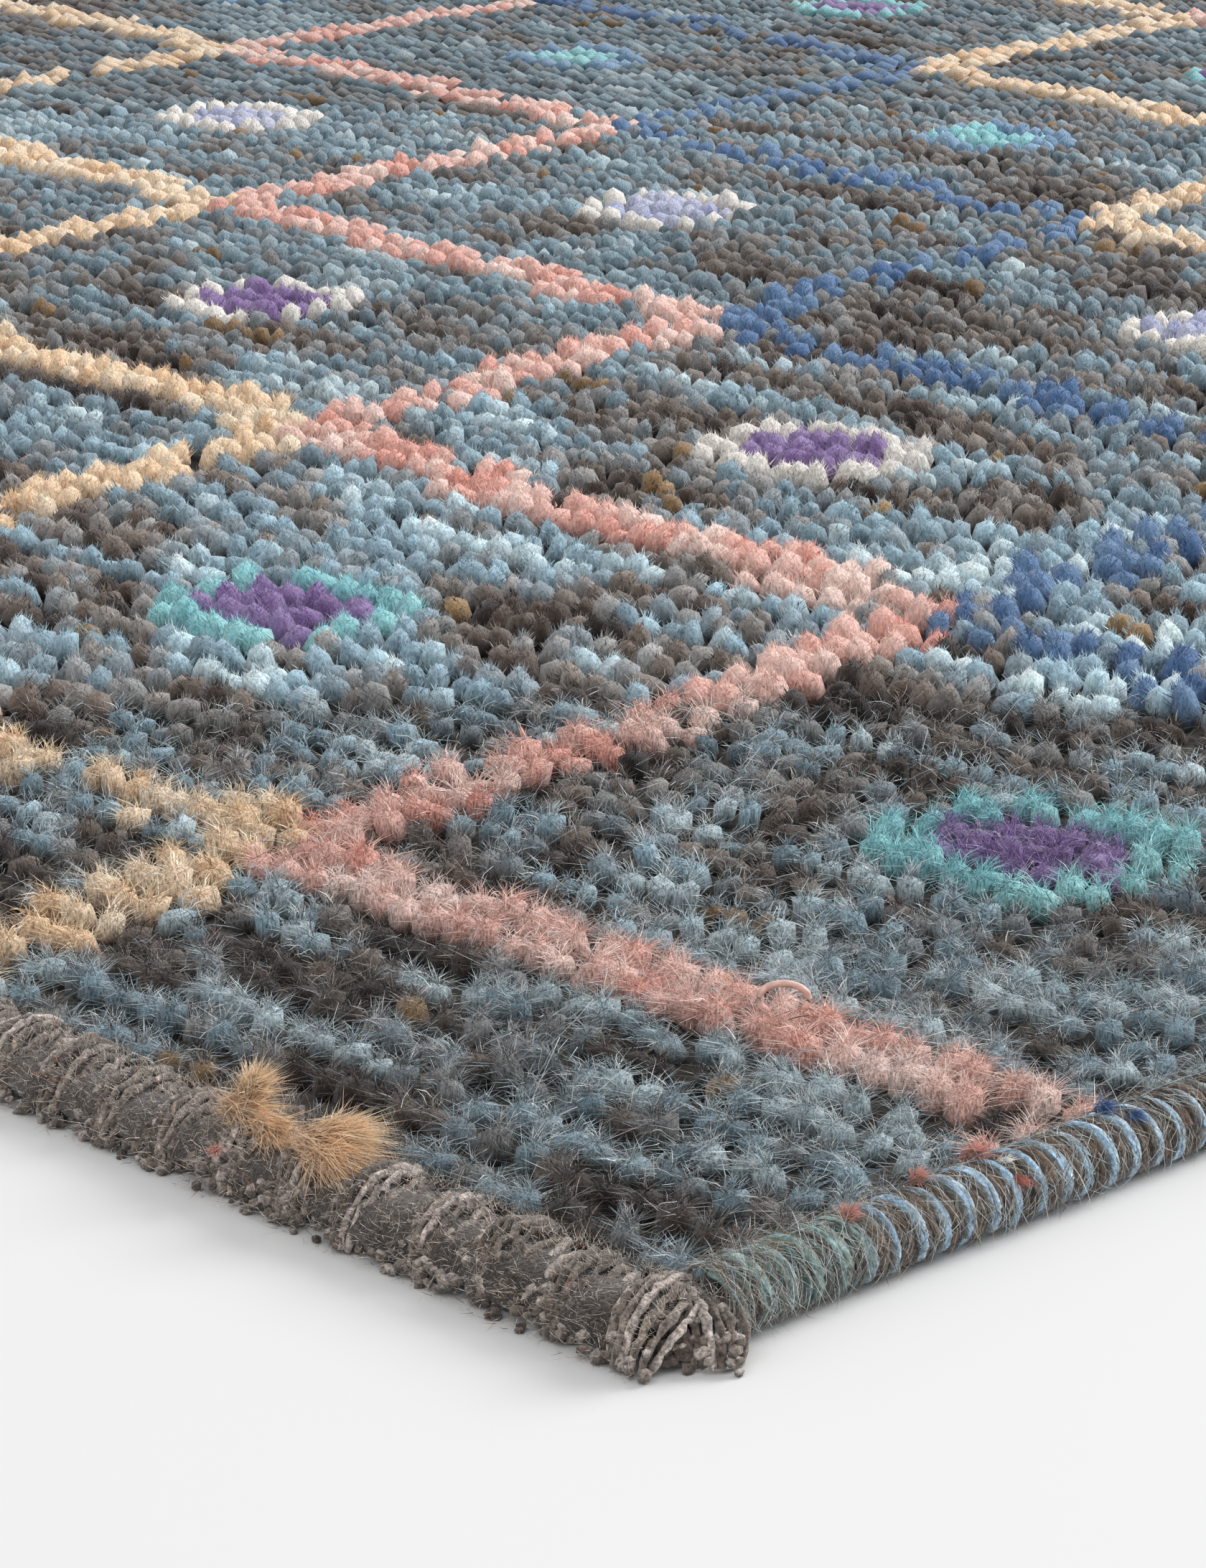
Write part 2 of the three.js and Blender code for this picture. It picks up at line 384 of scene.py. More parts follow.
# The pile is two-ended wool knots tied on the warps, one tuft to a knot, clipped to about 11 mm. Each cut end
# opens like a small brush, and a dark furrow is left between the rows. The tufts are made finest where the
# photograph looks, at the near right corner, and in fewer faces where it only sees them from far off.
dice = np.random.default_rng(29)
from_foot = np.stack([knot_x, knot_y], -1) - camera_foot
knot_range = np.hypot(from_foot[..., 0], from_foot[..., 1])
sideways = from_foot @ right_way
knot_bearing = np.degrees(np.abs(np.arcsin(sideways / knot_range)))
CORNER_RANGE, CLOSE_RANGE, MIDDLE_RANGE, FAR_RANGE, FARTHEST_RANGE = 0.60, 0.72, 1.10, 1.42, 1.79
# How far each zone goes to both sides of the camera's aim, in degrees: a little past what the view takes in
NEAR_BEARING, MIDDLE_BEARING, FAR_BEARING = 11, 8.8, 8.2
corner = (knot_range < CORNER_RANGE) & (knot_bearing < NEAR_BEARING)
close = ~corner & (knot_range < CLOSE_RANGE) & (knot_bearing < NEAR_BEARING)
middle = (knot_range >= CLOSE_RANGE) & (knot_range < MIDDLE_RANGE) & (knot_bearing < MIDDLE_BEARING)
far = (knot_range >= MIDDLE_RANGE) & (knot_range < FAR_RANGE) & (knot_bearing < FAR_BEARING)
farthest = (knot_range >= FAR_RANGE) & (knot_range < FARTHEST_RANGE) & (knot_bearing < FAR_BEARING)
rest = ~(corner | close | middle | far | farthest)


def tuft_shape(sides, levels, turned):
    """A closed tuft of unit size: a low point, one ring for each (height, girth) pair, and a top point.
    Returns the points and the triangles that join them, facing outwards."""
    angle = 2 * np.pi * (np.arange(sides) + turned) / sides
    circle = np.stack([np.cos(angle), np.sin(angle)], -1)
    rings = [np.column_stack([circle * girth, np.full(sides, height)]) for height, girth in levels]
    points = np.concatenate([[[0, 0, 0]], *rings, [[0, 0, 1]]])
    start = 1 + sides * np.arange(len(levels))
    here = np.arange(sides)
    after = (here + 1) % sides
    low = np.stack([np.zeros(sides, int), start[0] + after, start[0] + here], -1)
    last = len(points) - 1
    high = np.stack([start[-1] + here, start[-1] + after, np.full(sides, last)], -1)
    bands = [
        np.concatenate([
            np.stack([a + here, a + after, b + after], -1),
            np.stack([a + here, b + after, b + here], -1),
        ])
        for a, b in zip(start[:-1], start[1:])
    ]
    return points, np.concatenate([low, *bands, high])


def tuft_growth():
    """How every knot's tuft grows: the middle of its foot, its height, half width and half depth, how far
    its top leans, and how full it is. Locks lean together over about 16 mm, and each tuft strays from its
    lock. Fullness goes in clumps of a knot or two. The dyed yarn is loftier than the ground's and stands a
    little higher."""
    shape = knot_x.shape
    lean_turn = drift(weft_mm, warp_mm, 17, 15, 21) * 4 * np.pi + dice.normal(0, 0.7, shape)
    lean = (0.9 + 1.5 * dice.random(shape)) * MM
    inset = np.minimum.reduce([
        field_high[0] - knot_x, knot_x - field_low[0], knot_y - field_low[1], field_high[1] - knot_y,
    ])
    rise = np.clip(inset / (14 * MM), 0, 1) ** 0.5
    full = 0.5 + 1.4 * (drift(weft_mm, warp_mm, 9, 8, 41) - 0.5) + 0.6 * (quick_change - 0.5)
    return {
        "x": knot_x + dice.normal(0, 0.45, shape) * MM,
        "y": knot_y + dice.normal(0, 0.5, shape) * MM,
        "height": (8.6 + 2.0 * rise + 1.2 * (full - 0.5) + dice.normal(0, 0.5, shape) + 1.1 * dyed) * MM,
        "half_width": (2.2 + 0.8 * dice.random(shape) + 0.35 * dyed) * MM,
        "half_depth": (2.7 + 1.0 * dice.random(shape) + 0.45 * dyed) * MM,
        "lean_x": lean * np.cos(lean_turn) * 0.8,
        "lean_y": lean * np.sin(lean_turn) * 0.8 - 0.3 * MM,
        "turn": dice.normal(0, 0.35, shape),
        "full": np.clip(full, 0, 1),
    }


dyed = knot_wool != "ground"
grown = tuft_growth()


def tufts(name, chosen, shape, crumple, root_painted_shade, tip_painted_light, finish, spread=1.0, drop=0.0, stands_for=1):
    """Tufts on the chosen knots as one mesh. Each point of the unit tuft is drawn to its tuft's size, pushed
    about by the crumple share, turned a little, and leant over by the square of its height. The knot's
    colour carries painted shade and light: it is darkened toward the root by the root painted shade and
    lit toward the top by the tip painted light, and less so where it is a dyed one. A tuft may stand for
    two knots of its row."""
    own = {part: values[chosen][:, None] for part, values in grown.items()}
    unit, triangles = shape
    count = len(own["x"])
    height = unit[:, 2][None]
    girth = 1 + crumple * dice.normal(0, 1, (count, len(unit)))
    across = unit[:, 0][None] * own["half_width"] * girth * spread * stands_for
    along = unit[:, 1][None] * own["half_depth"] * girth * spread
    cos, sin = np.cos(own["turn"]), np.sin(own["turn"])
    root = CLOTH_THICK * 0.8
    middle_x = own["x"] - (stands_for - 1) * knot_pitch / 2
    points = np.stack([
        middle_x + across * cos - along * sin + own["lean_x"] * height ** 2,
        own["y"] + across * sin + along * cos + own["lean_y"] * height ** 2,
        root + (own["height"] - root - drop) * height * (1 + 0.3 * (girth - 1)),
    ], -1)
    # Painted shade and light: the colour is darkened toward the root and lightened toward the top, less so on
    # dyed knots
    shade = root_painted_shade + (tip_painted_light - root_painted_shade) * height ** 1.3 + dice.normal(0, 0.06, (count, len(unit)))
    shade = np.where(dyed[chosen][:, None], 0.6 + 0.36 * shade, shade)
    colours = np.minimum(knot_colour[chosen][:, None] * np.maximum(shade, 0.08)[..., None], 0.95)
    faces = triangles[None] + (np.arange(count) * len(unit))[:, None, None]
    return wool_piece(
        name, points.reshape(-1, 3), [faces.reshape(-1, 3)], colours.reshape(-1, 3), finish, "field_wool"
    )


close_finish = yarn_finish("cut_pile", (0.3 * MM, 0.3 * MM, 1.4 * MM), 0.6 * MM, 0.88, 0.25, 0.8)
broad_finish = yarn_finish("cut_pile_broad", (0.5 * MM, 0.5 * MM, 1.8 * MM), 1.0 * MM, 0.9, 0.3, 0.4)
CORE = tuft_shape(6, [(0.4, 0.85), (0.82, 0.8)], 0.0)
LUMP = tuft_shape(6, [(0.44, 0.98), (0.81, 0.7)], 0.0)
SOFT_LUMP = tuft_shape(5, [(0.44, 1.05), (0.82, 0.7)], 0.0)
FAR_LUMP = tuft_shape(5, [(0.72, 1.15)], 0.0)
PLAIN_LUMP = tuft_shape(4, [(0.66, 1.3)], 0.5)
first_of_two = (column % 2 == 0) & rest & np.roll(rest, -1, axis=1) & (column < COLUMNS - 1)
second_of_two = np.roll(first_of_two, 1, axis=1)
left_half = column >= COLUMNS // 2
REST_LOOK = (PLAIN_LUMP, 0.08, 0.58, 0.95, broad_finish, 1.25)
# The root and tip shades differ from zone to zone only to fit the brightness that the photo has there
pile = [
    tufts("pile_close", corner | close, CORE, 0.12, 0.24, 1.0, close_finish, spread=0.92, drop=2.8 * MM),
    tufts("pile_middle", middle, LUMP, 0.12, 0.5, 1.42, broad_finish, spread=1.0, drop=1.1 * MM),
    tufts("pile_far", far, SOFT_LUMP, 0.12, 0.72, 1.16, broad_finish, spread=1.1, drop=0.5 * MM),
    tufts("pile_farthest", farthest, FAR_LUMP, 0.12, 0.58, 0.76, broad_finish, spread=1.2, drop=0.2 * MM),
    tufts("pile_rest_right", first_of_two & ~left_half, *REST_LOOK, stands_for=2),
    tufts("pile_rest_left", first_of_two & left_half, *REST_LOOK, stands_for=2),
    tufts("pile_rest_odd", rest & ~first_of_two & ~second_of_two, *REST_LOOK),
]


def arc(root, reach, bend, stations):
    """Lines of points along root + reach * s + bend * s * s as s goes from 0 to 1."""
    s = np.linspace(0, 1, stations)[None, :, None]
    return root[:, None] + reach[:, None] * s + bend[:, None] * s * s


LOWEST_LINE = 0.3 * MM


def blades(lines, width, shaded_root_colour, tip_colour):
    """Wool fibres as thin flat blades along lines of points. A blade's two edges lie the given width apart at
    the root, draw in a little on the way, and meet at the last point. A line that would go lower stays at
    the lowest height over the floor. The colour runs from the shaded root colour, painted shade at the
    root, to the tip colour. Returns points, sets of faces and colours."""
    count, stations = lines.shape[:2]
    lines = np.concatenate([lines[..., :2], np.maximum(lines[..., 2:], LOWEST_LINE)], -1)
    side = np.cross(lines[:, -1] - lines[:, 0], dice.normal(0, 1, (count, 3)))
    side *= (width / 2 / np.maximum(np.linalg.norm(side, axis=1), 1e-9))[:, None]
    s = np.arange(stations - 1) / (stations - 1)
    half = side[:, None] * (1 - 0.5 * s)[None, :, None]
    edges = np.stack([lines[:, :-1] - half, lines[:, :-1] + half], 2).reshape(count, -1, 3)
    points = np.concatenate([edges, lines[:, -1:]], 1)
    share = np.append(np.repeat(s, 2), 1)[None, :, None]
    tints = shaded_root_colour[:, None] * (1 - share) + tip_colour[:, None] * share
    a = 2 * np.arange(stations - 2)[:, None]
    tip = 2 * stations - 2
    pattern = np.concatenate([a + [0, 1, 3], a + [0, 3, 2], [[tip - 2, tip - 1, tip]]])
    faces = pattern[None] + (np.arange(count) * points.shape[1])[:, None, None]
    return points.reshape(-1, 3), [faces.reshape(-1, 3)], tints.reshape(-1, 3)


DOME_FALL = 2.7 * MM


def brushes(name, chosen, per_knot, stations, length, width, curl, stray_mix, uneven):
    """The fibres of the cut ends, a given mean number to each chosen knot. In its tuft a fibre leans out by
    its share of the way to the rim, as a brush's does, and ends on a dome that falls by the square of that
    share. In the ground each takes its own wool, near its knot's in the mix. Each fibre is painted darker
    at its root and toward its tuft's rim, as shade, and a ground fibre's tip is painted lighter."""
    knots = np.flatnonzero(chosen)
    full = grown["full"].ravel()
    lofty = dyed.ravel()
    wanted = np.broadcast_to(per_knot, knot_x.shape).ravel()[knots] * (0.75 + 0.5 * full[knots])
    wanted = wanted * (1 + 0.45 * lofty[knots])
    owner = np.repeat(knots, np.floor(wanted + dice.random(len(knots))).astype(int))
    count = len(owner)
    own = {part: values.ravel()[owner] for part, values in grown.items()}
    turn = dice.random(count) * 2 * np.pi
    rim = np.sqrt(dice.random(count))
    out_x, out_y = rim * np.cos(turn), rim * np.sin(turn)
    tip = np.stack([
        own["x"] + out_x * own["half_width"] + own["lean_x"],
        own["y"] + out_y * own["half_depth"] + own["lean_y"],
        own["height"] - DOME_FALL * rim ** 2 + dice.normal(0, 0.35, count) * MM,
    ], -1)
    way = np.stack([
        0.75 * out_x + 0.16 * own["lean_x"] / MM + dice.normal(0, 0.2, count),
        0.75 * out_y + 0.16 * own["lean_y"] / MM + dice.normal(0, 0.2, count),
        np.ones(count),
    ], -1)
    way /= np.linalg.norm(way, axis=1)[:, None]
    own_length = length * (0.85 + 0.3 * own["full"]) * (1 + 0.15 * lofty[owner])
    own_length = (own_length * np.exp(dice.normal(0, 0.22, count)))[:, None]
    bend = curl * own_length * np.stack([
        0.3 * out_x + dice.normal(0, 0.42, count),
        0.3 * out_y + dice.normal(0, 0.42, count),
        -0.25 * rim - 0.3 * dice.random(count),
    ], -1)
    root = tip - way * own_length
    ground = knot_wool.ravel()[owner] == "ground"
    own_mix = np.clip(ground_mix.ravel()[owner] + dice.normal(0, stray_mix, count), 0, 1)
    own_ground = ground_colour(own_mix) * knot_tone.ravel()[owner][:, None]
    base = np.where(ground[:, None], own_ground, knot_colour.reshape(-1, 3)[owner])
    # Each fibre's tone differs at random, and is also painted darker toward its tuft's rim, as shade between
    # the tufts
    tone = np.exp(dice.normal(0, 1, count) * np.where(ground, uneven, 0.6 * uneven)) * (1.08 - 0.3 * rim ** 2)
    base = base * tone[:, None]
    widths = width * np.exp(dice.normal(0, 0.2, count))
    # Painted shade and light: a fibre's root is painted darker, and a ground fibre's tip lighter
    fibre_root_painted_shade = np.where(ground, 0.22, 0.7) if stations > 2 else np.where(ground, 0.85, 0.9)
    shaded_root_colour = base * fibre_root_painted_shade[:, None]
    lines = arc(root, way * own_length, bend, stations)
    strands = blades(lines, widths, shaded_root_colour, np.minimum(base * np.where(ground, 1.8, 1.25)[:, None], 1))
    return wool_piece(name, *strands, fibre_finish, "field_wool")


STRAY_HAIRS, HAIR_STATIONS = 1900, 7
STRAY_HAIR_WOOLS = ("c9d6dc", "2b2523", "a3b6c0", "50463f", "9a8f80", "dfe4e4")


def stray_hairs(count):
    """Long thin hairs that stand out of the near pile. Each runs along a low arc and swings to the side by a
    sine of up to one and a half waves."""
    knots = dice.choice(np.flatnonzero(corner | close), count)
    own = {part: values.ravel()[knots] for part, values in grown.items()}
    scatter = dice.normal(0, 1.6, (count, 2)) * MM
    root = np.stack([own["x"] + scatter[:, 0], own["y"] + scatter[:, 1], own["height"] - 1.6 * MM], -1)
    turn = dice.random(count) * 2 * np.pi
    own_length = 4.6 * MM * np.exp(dice.normal(0, 0.35, count))
    level_way = np.stack([np.cos(turn), np.sin(turn), np.zeros(count)], -1)
    reach = (level_way * 0.75 + [0, 0, 0.75]) * own_length[:, None]
    bend = [0, 0, -0.6] * own_length[:, None] + level_way * (0.3 * own_length * dice.random(count))[:, None]
    lines = arc(root, reach, bend, HAIR_STATIONS)
    s = np.linspace(0, 1, HAIR_STATIONS)[None]
    swing = 0.3 * own_length[:, None] * (
        np.sin(2 * np.pi * s * (0.5 + dice.random((count, 1))) + turn[:, None]) - np.sin(turn)[:, None]
    )
    swing_way = np.stack([-np.sin(turn), np.cos(turn), dice.normal(0, 0.5, count)], -1)
    lines += swing[..., None] * swing_way[:, None]
    tints = np.stack([linear(web) for web in STRAY_HAIR_WOOLS])
    base = tints[dice.integers(0, len(tints), count)]
    # Painted shade: each hair is darker at its root, down in the pile
    strands = blades(lines, np.full(count, 0.09 * MM), base * 0.7, base)
    return wool_piece("stray_hairs", *strands, fibre_finish, "field_wool")


fibre_finish = yarn_finish("loose_fibre", (3 * MM, 3 * MM, 3 * MM), 0.05 * MM, 0.42, 0.2, gloss=0.5)
NEAREST_RANGE = 0.47
nearness = np.clip((CLOSE_RANGE - knot_range) / (CLOSE_RANGE - NEAREST_RANGE), 0, 1)
closeness = np.clip((MIDDLE_RANGE - knot_range) / (MIDDLE_RANGE - CLOSE_RANGE), 0, 1)
farther = np.clip((FAR_RANGE - knot_range) / (FAR_RANGE - MIDDLE_RANGE), 0, 1)
looked_at = np.clip((NEAR_BEARING - knot_bearing) / 2, 0.3, 1)
corner_count = (108 + 64 * nearness) * looked_at
close_count = (52 + 48 * nearness) * looked_at
pile += [
    brushes("fibres_corner", corner, corner_count, 3, 3.9 * MM, 0.11 * MM, 1.0, 0.17, 0.8),
    brushes("fibres_close", close, close_count, 3, 3.4 * MM, 0.15 * MM, 0.8, 0.13, 0.6),
    brushes("fibres_middle", middle, 28 + 38 * closeness, 2, 2.0 * MM, 0.25 * MM, 0.35, 0.07, 0.2),
    brushes("fibres_far", far, 6 + 9 * farther, 2, 1.7 * MM, 0.4 * MM, 0.3, 0.05, 0.12),
    stray_hairs(STRAY_HAIRS),
]

# The selvedge is a bundle of the outer warps, overcast all the way with loosely spun wool into a round cord.
# Thin light blue turns alternate with thicker brown ones, and the first turns at the corner are grey-green.
TURN_PITCH = 4.5 * MM
CORD_BED = 0.25 * MM
FINE_CORD, FINE_STRAND_STEPS, STRAND_SIDES = 132 * MM, 18, 5
GREEN_TURNS = 24 * MM
CORE_SET_BACK = 2.5 * MM
# The core's colour is partly its own dark warps and partly painted shade, so the gaps between the overcast
# strands show dark
CORE_WOOL_AND_GAP_SHADE, THIN_TURN_WOOL, THICK_TURN_WOOL = "231f1d", "8fb6d6", "594b40"
CORD_HAIRS, CORD_HAIR_LENGTH = 3200, 3.6 * MM
CORD_HAIR_WOOLS = ("ccd2cf", "8d8072", "b4c6cf", "6a5d52", "b5ab9d")
SLEEVE_STATIONS = 3
STRANDS = [
    {"place": 0.00, "radius": 0.58 * MM, "wool": "94b4cd", "start_wool": "7f9e9a"},
    {"place": 0.17, "radius": 0.52 * MM, "wool": "b4cbdb", "start_wool": "a3b8b3"},
    {"place": 0.35, "radius": 0.66 * MM, "wool": "4f4138", "start_wool": "474842"},
    {"place": 0.53, "radius": 0.60 * MM, "wool": "66564a", "start_wool": "5a746f"},
    {"place": 0.70, "radius": 0.68 * MM, "wool": "3d342f", "start_wool": "36352f"},
    {"place": 0.87, "radius": 0.56 * MM, "wool": "666b6b", "start_wool": "7a938e"},
]


def tube_faces(rings, sides):
    """The faces of a closed tube: a band of quads between each two rings, and a fan over each end."""
    here = np.arange(sides)
    after = (here + 1) % sides
    step = (np.arange(rings - 1) * sides)[:, None]
    bands = np.stack([step + here, step + after, step + sides + after, step + sides + here], -1)
    last = sides * (rings - 1)
    ends = np.concatenate([
        np.stack([np.zeros(sides - 2, int), here[2:], here[1:-1]], -1),
        np.stack([np.full(sides - 2, last), last + here[1:-1], last + here[2:]], -1),
    ])
    return bands.reshape(-1, 4), ends


def tube(path, across, upwards, radius, sides):
    """A tube with closed ends. Each ring lies round a point of the path at radius times the cosine of its
    angle along across plus the sine along upwards. Returns points and faces."""
    angle = 2 * np.pi * np.arange(sides) / sides
    reach = np.broadcast_to(radius, (len(path),))[:, None, None]
    rings = path[:, None] + reach * (
        np.cos(angle)[None, :, None] * across[:, None] + np.sin(angle)[None, :, None] * upwards[:, None]
    )
    return rings.reshape(-1, 3), [*tube_faces(len(path), sides)]


def square_to(path):
    """Two unit directions square to a path and to each other at each of its points: one level, and one up."""
    along = np.gradient(path, axis=0)
    along /= np.linalg.norm(along, axis=1)[:, None]
    level = np.cross(along, [0.0, 0.0, 1.0])
    length = np.linalg.norm(level, axis=1)[:, None]
    level = np.where(length > 0.05, level / np.maximum(length, 0.05), [1.0, 0.0, 0.0])
    return level, np.cross(level, along)


def joined(parts):
    """Several (points, faces, colours) parts as one, with the faces of each renumbered after those before."""
    starts = np.cumsum([0] + [len(part[0]) for part in parts])
    points = np.concatenate([part[0] for part in parts])
    colours = np.concatenate([part[2] for part in parts])
    faces = [own + start for part, start in zip(parts, starts) for own in part[1]]
    return points, faces, colours


def speckled(base, count, spread):
    """One colour repeated, each time lightened or darkened at random by about the given share."""
    return base * np.exp(dice.normal(0, spread, count))[:, None]


def overcast_strand(cord_x, half_width, half_height, side, strand):
    """One strand of the overcasting near the corner: a helix round an oval, one turn each pitch, that
    flattens on the floor and swells and strays a little as it goes."""
    turns = FINE_CORD / TURN_PITCH
    s = np.linspace(0, turns, round(turns * FINE_STRAND_STEPS))
    stray = (drift(s, s * 0 + strand["place"] * 50, 0.8, 1, 31) - 0.5) * 0.22
    y = field_low[1] + (s + strand["place"] + stray) * TURN_PITCH * 0.985
    phase = 0.5 * np.pi - 2 * np.pi * s
    swell = (drift(s, s * 0 + strand["place"] * 90, 0.45, 1, 32) - 0.4) * 0.7 * MM
    x = cord_x + side * (half_width - strand["radius"] + swell) * np.cos(phase)
    z = half_height + (half_height - strand["radius"] + swell) * np.sin(phase)
    path = np.stack([x, np.minimum(y, field_low[1] + FINE_CORD), np.maximum(z, strand["radius"])], -1)
    level, up = square_to(path)
    radius = strand["radius"] * (0.85 + 0.35 * drift(s, s * 0 + strand["place"] * 70, 0.3, 1, 33))
    points, faces = tube(path, level, up, radius, STRAND_SIDES)
    along = np.repeat(path[:, 1] - field_low[1], STRAND_SIDES)
    green = np.clip((GREEN_TURNS - along) / (3 * MM) + 0.5, 0, 1)[:, None]
    base = linear(strand["wool"]) * (1 - green) + linear(strand["start_wool"]) * green
    return points, faces, speckled(base, len(points), 0.36)


def cord_sleeve(cord_x, half_width, half_height, start, end, sides):
    """The overcasting further off, as one ribbed sleeve: an oval whose radius rises and falls once each turn
    along a helix, coloured by where each point lies within its turn."""
    steps = max(2, round((end - start) / TURN_PITCH * SLEEVE_STATIONS))
    y = np.linspace(start, end, steps + 1)
    angle = 2 * np.pi * np.arange(sides) / sides
    phase = (y[:, None] / TURN_PITCH + angle[None] / (2 * np.pi)) % 1
    rib = 0.3 * MM * np.cos(2 * np.pi * phase) - 0.35 * MM
    x = cord_x + (half_width + rib) * np.cos(angle)[None]
    z = np.maximum(half_height + (half_height + rib) * np.sin(angle)[None], CORD_BED)
    rings = np.stack([x, np.broadcast_to(y[:, None], x.shape), z], -1)
    bands, ends = tube_faces(steps + 1, sides)
    faces = [bands[:, [0, 3, 2, 1]], ends[:, [0, 2, 1]]]
    thin = np.clip(1.4 - 5 * np.minimum(phase, 1 - phase), 0, 1)[..., None]
    colours = linear(THIN_TURN_WOOL) * thin + linear(THICK_TURN_WOOL) * (1 - thin)
    colours = colours.reshape(-1, 3) * np.exp(dice.normal(0, 0.12, rings[..., 0].size))[:, None]
    return rings.reshape(-1, 3), faces, colours


def loose_hairs(count, centre_line, half_width, half_height, length, side):
    """Stray hairs round the corner end of a cord: each starts on its outer side or over its top, runs round
    it and lifts away, and most are pale."""
    y = field_low[1] + dice.random(count) ** 1.7 * FINE_CORD
    angle = np.radians(-35 + 190 * dice.random(count))
    out = np.stack([side * np.cos(angle), np.zeros(count), np.sin(angle)], -1)
    root = np.stack([
        centre_line + side * half_width * 0.96 * np.cos(angle), y, half_height * (1 + 0.96 * np.sin(angle)),
    ], -1)
    round_way = np.stack([side * np.sin(angle), dice.normal(0, 0.5, count), -np.cos(angle)], -1)
    own = (length * np.exp(dice.normal(0, 0.35, count)))[:, None]
    reach = (round_way * np.sign(dice.random(count) - 0.35)[:, None] + out * 0.45) * own
    bend = (-out * 0.5 + dice.normal(0, 0.22, (count, 3))) * own
    tints = np.stack([linear(web) for web in CORD_HAIR_WOOLS])
    base = tints[dice.integers(0, len(tints), count)]
    lowest = (root + reach + bend)[:, 2]
    bend[:, 2] += np.maximum(0.2 * MM - lowest, 0)
    # Painted shade: each hair is darker at its root
    return blades(arc(root, reach, bend, 4), np.full(count, 0.11 * MM), base * 0.8, base)


overcast_finish = yarn_finish("overcast_wool", (0.55 * MM, 0.55 * MM, 0.55 * MM), 0.45 * MM, 0.78, 0.35, 0.5)
for cord_name, side in (("selvedge_right", 1), ("selvedge_left", -1)):
    low, high = (np.array(corner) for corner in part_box(cord_name))
    cord_x = (low[0] + high[0]) / 2
    half_width, half_height = (high[0] - low[0]) / 2, (high[2] - low[2]) / 2
    parts = []
    sleeve_start = low[1]
    if side == 1:
        sleeve_start = low[1] + FINE_CORD
        parts = [overcast_strand(cord_x, half_width, half_height, side, strand) for strand in STRANDS]
        core_y = np.linspace(low[1] + CORE_SET_BACK, sleeve_start, 12)
        core = np.stack([np.full(12, cord_x), core_y, np.full(12, half_height)], -1)
        points, faces = tube(
            core, np.tile([1.0, 0, 0], (12, 1)), np.tile([0, 0, -1.0], (12, 1)), half_height - 0.9 * MM, 10
        )
        parts.append((points, faces, speckled(linear(CORE_WOOL_AND_GAP_SHADE), len(points), 0.1)))
        parts.append(loose_hairs(CORD_HAIRS, cord_x, half_width, half_height, CORD_HAIR_LENGTH, side))
    sleeve_sides = 9 if side == 1 else 7
    parts.append(cord_sleeve(cord_x, half_width, half_height, sleeve_start, high[1], sleeve_sides))
    cord = wool_piece(cord_name + "_overcast", *joined(parts), overcast_finish, "cord_wool")
    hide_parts(cord_name)

# The end finish: the warps beyond the last row are gathered in groups and turned down to the floor, each
# made as a fan of twisted threads with nubs below. One more group turns round each corner. How many warps
# a real group has can't be told.
GROUP_PITCH = 12.2 * MM
FINE_GROUPS = 13
THREAD_RADIUS = 0.57 * MM
FAN_HALF_MM = 5.6
MANY_NUBS, FEW_NUBS, PLAIN_NUBS = 54, 30, 2
FUZZ_BLADES = 11000
CORNER_TURN = math.radians(42)
WARP_TINTS = np.stack([linear(web) for web in ("877b73", "aca099", "5d524b", "74695f")])


def rise_over(s):
    """The height share of a group at a share s of its way out: it starts part way up and goes over a sine."""
    return np.sin(np.pi * np.clip(0.24 + 0.76 * s, 0, 1)) ** 0.7


def set_out(centre_x, inner_y, outward, turn, across, out):
    """Places given as across and outward distances from a group's root, turned about the root."""
    cos, sin = math.cos(turn), math.sin(turn)
    return centre_x + across * cos + out * sin, inner_y + outward * (out * cos - across * sin)


def warp_group(centre_x, inner_y, outward, turn, reach, top, lean, fine):
    """One group as a fan of threads. Thread u, from -1 to 1 across the group, starts narrow at the knots,
    rises over the top by the sine of its way out, spreads, and comes down to the floor's edge."""
    threads, stations, sides = (8, 16, 5) if fine else (4, 6, 3)
    parts = []
    s = np.linspace(0, 1, stations)
    for u in np.linspace(-1, 1, threads):
        spread = 2.4 + 3.2 * np.sin(np.pi * np.clip(s * 0.9 + 0.06, 0, 1)) ** 0.8
        across = (u * spread + lean * (s - 0.5)) * MM + dice.normal(0, 0.13 * MM, stations)
        out = (-0.8 * MM) + (reach * (1 - 0.16 * u ** 2) + 0.3 * MM) * (1 - (1 - s) ** 1.35)
        x, y = set_out(centre_x, inner_y, outward, turn, across, out)
        z = top * (1 - 0.38 * u ** 2 + 0.12 * (u > 0.8)) * rise_over(s) + dice.normal(0, 0.22 * MM, stations)
        radius = THREAD_RADIUS * (1 if fine else 1.5) * (1 + 0.18 * dice.normal(0, 1, stations))
        path = np.stack([x, y, np.maximum(z, radius)], -1)
        level, up = square_to(path)
        points, faces = tube(path, level, up, radius, sides)
        parts.append((points, faces, speckled(WARP_TINTS[dice.integers(0, 4)], len(points), 0.34)))
    return parts


